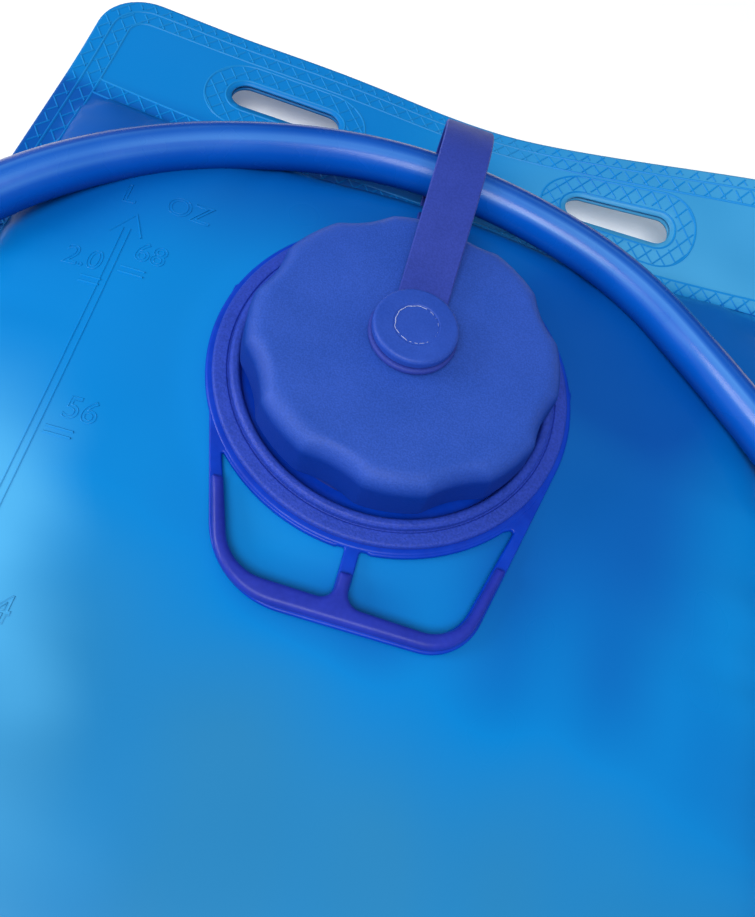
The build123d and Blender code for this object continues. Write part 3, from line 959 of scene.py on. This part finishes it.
def make_collar():
    """Matte ring: rounded outer band, fine groove, raised bead, and a lower floor inside it."""
    z = COLLAR_Z0
    profile = ring_profile([
        (25.4, z - 0.4, 0.1), (35.0, z - 0.4, 0.1), (36.1, z - 0.3, 0.2), (36.1, z + 1.1, 0.8),
        (33.35, z + 1.25, 0.25), (33.25, z + 0.85, 0.12), (32.95, z + 0.85, 0.12), (32.8, z + 1.75, 0.5),
        (32.2, z + 2.3, 0.7), (31.0, z + 2.3, 0.7), (30.5, z - 0.1, 0.5), (25.4, z - 0.1, 0.1),
    ], 0.22)
    collar = lathe("collar", profile, NECK, 256, sharp_deg=60)
    paint(collar, MATTE_BLUE)
    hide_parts("neck_collar")
    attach(collar, "root")


HANDLE_TOP, PLATE_T, BAR_RISE = 19.1, 1.3, 1.3
HANDLE_OUTSIDE = [
    (-36.6, 9.0, 0), (-37.35, -4.0, 30), (-20.6, -51.7, 17.5), (24.6, -51.7, 10.5), (37.4, -5.0, 30), (36.6, 9.0, 0),
]
LEFT_GAP = [(-27.2, -26.2, 0.9), (-18.7, -47.2, 9.5), (-0.3, -47.5, 2.6), (-0.3, -36.9, 2.2)]
RIGHT_GAP = [(2.5, -36.9, 2.2), (2.5, -47.9, 3.2), (22.3, -48.5, 8.5), (30.0, -24.2, 0.9)]
BAR_LEFT_STEP, BAR_RIGHT_STEP, BAR_MID_STEP = -31.6, -33.0, -42.0


def arc_between(radius, first, last, parts=14):
    """Corner points along the ring between two of its points."""
    a0, a1 = math.atan2(first[1], first[0]), math.atan2(last[1], last[0])
    angles = [a0 + (a1 - a0) * (k + 1) / (parts + 1) for k in range(parts)]
    return [(radius * math.cos(a), radius * math.sin(a), 0) for a in angles]


def inside_loops(x, y, loops):
    """Even-odd test of a flat point against closed outlines."""
    odd = False
    for loop in loops:
        for p, q in zip(loop, loop[1:] + loop[:1]):
            if (p.y > y) != (q.y > y) and x < (q.x - p.x) * (y - p.y) / (q.y - p.y) + p.x:
                odd = not odd
    return odd


def loop_distance(x, y, loops):
    """Distance from a flat point to the nearest outline."""
    best = 1e9
    for loop in loops:
        for p, q in zip(loop, loop[1:] + loop[:1]):
            dx, dy = q.x - p.x, q.y - p.y
            t = max(0.0, min(1.0, ((x - p.x) * dx + (y - p.y) * dy) / max(dx * dx + dy * dy, 1e-12)))
            best = min(best, (x - p.x - t * dx) ** 2 + (y - p.y - t * dy) ** 2)
    return math.sqrt(best)


def plate(name, loops, z0, z1, edge_top, edge_foot, grid=1.3):
    """Flat solid inside closed outlines, its rims rounded by the true distance from the outline."""
    spots, edges = loop_edges(loops)
    depths = [0.0] * len(spots)
    for share in (0.12, 0.35, 0.68, 1.0):
        for loop in loops:
            for before, p, after in zip(loop[-1:] + loop[:-1], loop, loop[1:] + loop[:1]):
                side = Vector((before.y - after.y, after.x - before.x)).normalized()
                for turn in (1, -1):
                    q = p + side * (turn * share * edge_top)
                    depth = loop_distance(q.x, q.y, loops)
                    if depth > 0.93 * share * edge_top and inside_loops(q.x, q.y, loops):
                        spots.append(q)
                        depths.append(depth)
    low_x, high_x = min(p.x for p in spots), max(p.x for p in spots)
    low_y, high_y = min(p.y for p in spots), max(p.y for p in spots)
    for x in steps(low_x, high_x, grid):
        for y in steps(low_y, high_y, grid):
            if inside_loops(x, y, loops):
                depth = loop_distance(x, y, loops)
                if depth > edge_top + 0.4:
                    spots.append(Vector((x, y)))
                    depths.append(depth)
    flat, _, faces, originals, _, _ = geometry.delaunay_2d_cdt(spots, edges, [], 0, 1e-5)
    faces = [f for f in faces if inside_loops(*(sum(flat[i][k] for i in f) / 3 for k in (0, 1)), loops)]

    def rounding(depth, edge):
        return edge * (1 - math.sqrt(max(0.0, 1 - (1 - min(1.0, depth / edge)) ** 2)))

    count = len(flat)
    deep = [min((depths[o] for o in source), default=edge_top) for source in originals]
    tops = [(p.x, p.y, z1 - rounding(d, edge_top)) for p, d in zip(flat, deep)]
    feet = [(p.x, p.y, z0 + rounding(d, edge_foot)) for p, d in zip(flat, deep)]
    counts = {}
    for face in faces:
        for i, j in zip(face, face[1:] + face[:1]):
            counts[frozenset((i, j))] = counts.get(frozenset((i, j)), 0) + 1
    walls = []
    for pair in (sorted(k) for k, n in counts.items() if n == 1):
        i, j = pair
        walls.append((i, j, j + count, i + count))
    spots = [(NECK.x + x, NECK.y + y, z) for x, y, z in tops + feet]
    faces = list(faces) + [tuple(i + count for i in reversed(f)) for f in faces] + walls
    return mesh_piece(name, spots, faces, 48)


def make_handle():
    """Flexible flat handle: straps and a base edge, with a thicker rounded bar on its lower half."""
    outside = rounded_path(HANDLE_OUTSIDE + arc_between(36.9, (36.6, 9.0), (-36.6, 9.0), 40), True, 1.0)
    left = rounded_path(LEFT_GAP + arc_between(37.7, LEFT_GAP[-1], LEFT_GAP[0]), True, 0.8)
    right = rounded_path(RIGHT_GAP + arc_between(37.7, RIGHT_GAP[-1], RIGHT_GAP[0]), True, 0.8)
    hole = circle_loop(Vector((0, 0)), 33.0, 1.5)
    base = plate("handle_plate", [outside, left, right, hole], HANDLE_TOP - PLATE_T - 0.2, HANDLE_TOP - 0.2, 0.4, 0.4)
    paint(base, CLEAR_BLUE)
    bar = make_bar()
    for piece in (base, bar):
        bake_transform(piece)
    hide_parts("handle_ring")
    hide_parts("handle_grip")


def make_bar():
    """The grip's thicker bar: one outline round both gaps, cut square at its three ends."""
    corners = [
        (-27.2, BAR_LEFT_STEP, 0.5), (-20.2, -51.1, 16.8), (24.2, -51.1, 10.0), (29.4, BAR_RIGHT_STEP, 0.5),
        (27.5, BAR_RIGHT_STEP, 0.5), (22.7, -48.3, 8.2), (2.4, -47.7, 3.0), (2.3, BAR_MID_STEP, 0.5),
        (-0.1, BAR_MID_STEP, 0.5), (-0.2, -47.3, 2.5), (-18.8, -47.0, 9.4), (-24.9, BAR_LEFT_STEP, 0.5),
    ]
    bar = plate("handle_bar", [rounded_path(corners, True, 0.7)], HANDLE_TOP - 0.9, HANDLE_TOP + BAR_RISE, 1.15, 0.2)
    paint(bar, GRIP_BLUE)
    return bar


make_neck()
make_collar()
make_handle()

# ---- cap, tether and rivet

CAP_R, CAP_Z0, CAP_Z1 = 30.9, cap_low.z, cap_high.z  # 0.3 less in radius than the CAD's
CAP_SKIRT_R_IN, CAP_TOP_T = 26.8, 1.8
FLUTES, FLUTE_DEPTH, FLUTE_PHASE = 8, 1.4, math.radians(31.5)


def flute(angle):
    """Depth of the scallops at an angle: round hollows that meet the lobes in soft edges."""
    turn = ((angle - FLUTE_PHASE) / TURN * FLUTES + 0.5) % 1 - 0.5
    rest = 1 - (turn / 0.25) ** 2
    return FLUTE_DEPTH * 0.5 * (rest + math.sqrt(rest * rest + 0.012))


def make_cap():
    """Screw cap with soft scallops, a large rounding to its top and an open skirt."""
    def warp(angle, radius, z):
        if radius < CAP_SKIRT_R_IN + 0.3 and z < CAP_Z1 - CAP_TOP_T + 0.1:
            return radius, z
        share = smooth_step(23.5, 29.5, radius)
        return radius - flute(angle) * share, z

    wall = rounded_path([
        (3.0, CAP_Z1, 0), (CAP_R - 1.2, CAP_Z1, 4.2), (CAP_R, CAP_Z0, 0.7),
        (CAP_SKIRT_R_IN, CAP_Z0, 0.6), (CAP_SKIRT_R_IN, CAP_Z1 - CAP_TOP_T, 0.8), (3.0, CAP_Z1 - CAP_TOP_T, 0),
    ], True, 0.6)
    cap = lathe("screw_cap", [(p.x, p.y) for p in wall], NECK, 384, warp, sharp_deg=60)
    paint(cap, CAP_BLUE)
    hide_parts("cap")
    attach(cap, "cap")


STRAP_T, STRAP_HALF = 1.3, 5.0
STRAP_ROUTE = [
    (28.4, 21.4), (33, 21.3), (40, 20.2), (45.5, 15.4), (52, 12.0), (60, 11.6), (64.8, 14.0), (65.6, 19.5),
    (64.0, 25.6), (59.0, 31.2), (52.4, 36.0), (45, 39.0), (37, 39.7), (28, 38.6), (18, 36.2), (9, 34.6), (0, 34.5),
]


def make_tether():
    """Strap from its ring on the neck, looped over the tube, to the eyelet on the cap."""
    line = nurbs_line("strap_line", [(0, y, z) for y, z in STRAP_ROUTE])
    path = [p / MM for p in line]
    section = [
        (-1.0, -0.30), (-1.0, 0.30), (-0.96, 0.5), (-0.90, 0.5), (-0.84, 0.40), (0.0, 0.40), (0.84, 0.40),
        (0.90, 0.5), (0.96, 0.5), (1.0, 0.30), (1.0, -0.30), (0.95, -0.5), (0.0, -0.5), (-0.95, -0.5),
    ]
    spots = []
    for i, p in enumerate(path):
        ahead = (path[min(i + 1, len(path) - 1)] - path[max(i - 1, 0)]).normalized()
        up = Vector((1, 0, 0)).cross(ahead).normalized()
        t = i / (len(path) - 1)
        half = STRAP_HALF * (1.0 + 0.06 * math.sin(math.pi * min(1.0, t * 1.2)) - 0.04 * smooth_step(0.8, 1.0, t))
        for across, rise in section:
            spots.append((NECK.x + across * half, NECK.y + p.y + up.y * rise * STRAP_T, p.z + up.z * rise * STRAP_T))
    width = len(section)
    faces = skin(len(path), width)
    faces += [tuple(range(width)), tuple(len(spots) - width + k for k in range(width))]
    strap = mesh_piece("tether_strap", spots, faces, 38)
    ring = lathe("tether_ring", ring_profile([
        (25.6, 20.3, 0.5), (28.5, 20.3, 0.5), (28.5, 22.6, 0.7), (25.6, 22.6, 0.7),
    ]), NECK)
    eyelet = lathe("tether_eyelet", ring_profile([
        (3.3, 33.8, 0.3), (8.35, 33.8, 0.6), (8.35, 35.1, 0.6), (3.3, 35.1, 0.3),
    ]), NECK)
    for piece in (strap, ring, eyelet):
        paint(piece, STRAP_BLUE)
    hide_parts("tether")
    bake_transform(strap)
    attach(ring, "root")
    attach(eyelet, "swivel")


# Painted highlight: the pale ring on the rivet stands for light catching its rim.
HIGHLIGHT_SIDE = math.radians(165)  # where the pale mark is strongest


def make_rivet():
    """Round button with a soft lip, a painted highlight along the rim round its middle, irregular and strongest on
    the left, and its post.
    """
    z0, z1 = rivet_low.z, rivet_high.z
    rivet = lathe("rivet_button", ring_profile([
        (0.01, z0, 0), (2.98, z0, 0.2), (2.98, 35.2, 0.1), (7.4, 35.2, 0.3), (7.4, 35.55, 0.1), (7.95, 35.75, 0.3),
        (7.95, z1, 0.8), (4.4, z1, 0.05), (4.2, z1 - 0.14, 0.05), (3.9, z1 - 0.1, 0.05), (0.01, z1 - 0.06, 0),
    ], 0.25), NECK, 128, sharp_deg=45)
    paint(rivet, RIVET_BLUE)
    spots, faces = [], []
    rng = random.Random(7)
    count = 220
    for i in range(count):
        a = TURN * i / count
        left = 0.5 + 0.5 * math.cos(a - HIGHLIGHT_SIDE)
        jitter = noise.noise(Vector((math.cos(a) * 3, math.sin(a) * 3, 2.0))) * 0.35 * left
        width = 0.02 + 0.075 * left * rng.uniform(0.3, 1.0)
        middle = 3.95 + jitter
        for r, up in ((middle - width, 0.0), (middle, 0.09), (middle + width, 0.0)):
            spots.append((NECK.x + r * math.cos(a), NECK.y + r * math.sin(a), z1 - 0.03 + up))
    for i in range(count):
        if noise.noise(Vector((i * 0.13, 4.0, 0.0))) > 0.12 + 0.2 * math.cos(TURN * i / count - HIGHLIGHT_SIDE):
            continue
        for k in range(2):
            a, b = i * 3 + k, (i + 1) % count * 3 + k
            faces.append((a, a + 1, b + 1, b))
    rim_highlight = mesh_piece("rivet_rim_highlight", spots, faces)
    paint(rim_highlight, RIM_HIGHLIGHT)
    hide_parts("tether_rivet")
    for piece in (rivet, rim_highlight):
        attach(piece, "swivel")


make_cap()
make_tether()
make_rivet()

# ---- CAD nodes that keep their shape

spring_low, spring_high = box_mm("release_spring")


def make_spring():
    """Coil spring of the release button, with closed end turns."""
    wire = 0.3
    radius = (spring_high.z - spring_low.z) / 2 - wire
    middle = (spring_low + spring_high) / 2
    turns, count = 5, 200
    path = []
    for i in range(count + 1):
        t = i / count
        rise = smooth_step(0.0, 1.0, t) * 0.35 + t * 0.65
        a = TURN * turns * t
        x = spring_low.x + wire + (spring_high.x - spring_low.x - 2 * wire) * rise
        path.append(Vector((x, middle.y + radius * math.cos(a), middle.z + radius * math.sin(a))))
    spring = sweep_tube("coil_spring", path, wire, 12)
    paint(spring, STEEL)
    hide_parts("release_spring")
    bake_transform(spring)


make_spring()

CAD_LOOKS = {
    "cap_gasket": SEAL, "port_oring": SEAL, "outlet_port": CLEAR_BLUE, "connector_body": CAP_BLUE,
    "release_button": GRIP_BLUE, "valve_body": CAP_BLUE, "shutoff_lever": GRIP_BLUE,
    "mouthpiece": BITE, "dust_cover": CLEAR,
}
for node_name, look in CAD_LOOKS.items():
    paint(nodes[node_name], look)

# ---- floor and light


def make_floor():
    size = 4.0
    floor = mesh_piece("floor", [(-size / MM, -size / MM, 0), (size / MM, -size / MM, 0),
                                 (size / MM, size / MM, 0), (-size / MM, size / MM, 0)], [(0, 1, 2, 3)])
    look = Look("floor", Specular_IOR_Level=0.1, Emission_Color=(1, 1, 1, 1), Emission_Strength=0.10)
    look.colour(look.ramp(look.noise(4, 2.0), [(0.3, (0.93, 0.94, 0.95)), (0.7, (0.96, 0.965, 0.97))]))
    look.rough(look.map_range(look.noise(30, 2.0), 0.7, 0.8))
    look.bump([(look.noise(200, 3.0), 0.05, 0.0002)])
    paint(floor, look.material)


def area_light(name, at, towards, size, power, colour):
    data = bpy.data.lights.new(name, "AREA")
    data.shape = "RECTANGLE"
    data.size, data.size_y = size
    data.energy = power
    data.color = colour
    lamp = link(bpy.data.objects.new(name, data))
    lamp.location = at
    lamp.rotation_mode = "QUATERNION"
    lamp.rotation_quaternion = (Vector(at) - Vector(towards)).to_track_quat("Z", "Y")


def make_world():
    """White surround for the camera, dimmer in reflections, so that the blue stays deep."""
    world = bpy.data.worlds.new("studio")
    world.use_nodes = True
    bpy.context.scene.world = world
    tree = world.node_tree
    surround = tree.nodes["Background"]
    surround.inputs["Color"].default_value = (0.92, 0.96, 1.0, 1)
    surround.inputs["Strength"].default_value = 0.50
    towards = add_node(tree, "TexCoord").outputs["Generated"]
    up = add_node(tree, "SeparateXYZ", Vector=towards).outputs["Z"]
    height = add_node(tree, "MapRange", From_Min=0.34, From_Max=0.66, To_Min=0.75, To_Max=0.03, Value=up)
    side = add_node(tree, "VectorMath")
    side.operation = "DOT_PRODUCT"
    side.inputs[1].default_value = (-0.85, -0.53, 0.0)
    tree.links.new(towards, side.inputs[0])
    facing = side.outputs["Value"]
    left = add_node(tree, "MapRange", From_Min=-0.25, From_Max=0.45, To_Min=0.06, To_Max=1.0, Value=facing)
    strength = add_node(tree, "Math")
    strength.operation = "MULTIPLY"
    for source, socket in zip((height, left), strength.inputs):
        source.interpolation_type = "SMOOTHSTEP"
        tree.links.new(source.outputs["Result"], socket)
    reflected = add_node(tree, "Background", Color=(0.60, 0.75, 1.0, 1), Strength=strength.outputs[0])
    seen = add_node(tree, "Background", Color=(1, 1, 1, 1), Strength=1.0)
    path = add_node(tree, "LightPath")
    shown = surround
    for ray, other in (("Is Glossy Ray", reflected), ("Is Camera Ray", seen)):
        mixed = add_node(tree, "MixShader")
        for out, socket in zip((path.outputs[ray], shown.outputs[0], other.outputs[0]), mixed.inputs):
            tree.links.new(out, socket)
        shown = mixed
    tree.links.new(shown.outputs[0], tree.nodes["World Output"].inputs["Surface"])


make_floor()
make_world()
area_light("window", (-0.85, -0.10, 0.40), (-0.05, 0.0, 0.02), (0.42, 0.36), 3.4, (1.0, 0.99, 0.97))
area_light("overhead", (-0.20, -0.80, 1.50), (0.0, 0.03, 0.02), (1.1, 0.8), 19.0, (0.97, 0.98, 1.0))
bpy.context.scene.view_settings.view_transform = "Standard"
bpy.context.scene.view_settings.look = "None"
